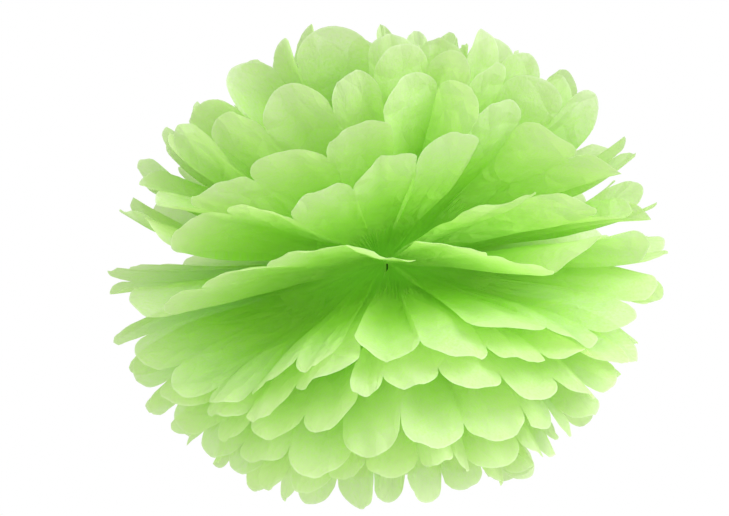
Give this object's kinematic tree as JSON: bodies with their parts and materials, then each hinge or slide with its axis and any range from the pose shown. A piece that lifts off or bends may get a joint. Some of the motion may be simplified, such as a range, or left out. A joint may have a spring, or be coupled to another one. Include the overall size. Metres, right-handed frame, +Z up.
{
  "type": "tissue paper pom pom",
  "caption": "Fluffed tissue paper ball of pleated sheets with scalloped petal ends, nested in a stack, tied round the waist with a twisted wire, to hang as decoration.",
  "frame": {"origin": "middle of the tied waist, which is the centre of the ball", "axes": "+X along the sheets' length, from the left fan to the right fan; -Y to the front seam, +Y to the back seam with the tie's twisted end; +Z up through the upper polar hollow"},
  "size_m": [0.3449, 0.3394, 0.2949],
  "materials": {
    "tissue": "matt translucent tissue, lime green",
    "wire": "satin green coated wire"
  },
  "bodies": {
    "root": {"tissue_sheet_01": "tissue", "tissue_sheet_02": "tissue", "tissue_sheet_03": "tissue", "tissue_sheet_04": "tissue", "tissue_sheet_05": "tissue", "tissue_sheet_06": "tissue", "tissue_sheet_07": "tissue", "tissue_sheet_08": "tissue", "tissue_sheet_09": "tissue", "tissue_sheet_10": "tissue", "tissue_sheet_11": "tissue", "tissue_sheet_12": "tissue", "tie_wire": "wire"}
  },
  "joints": []
}
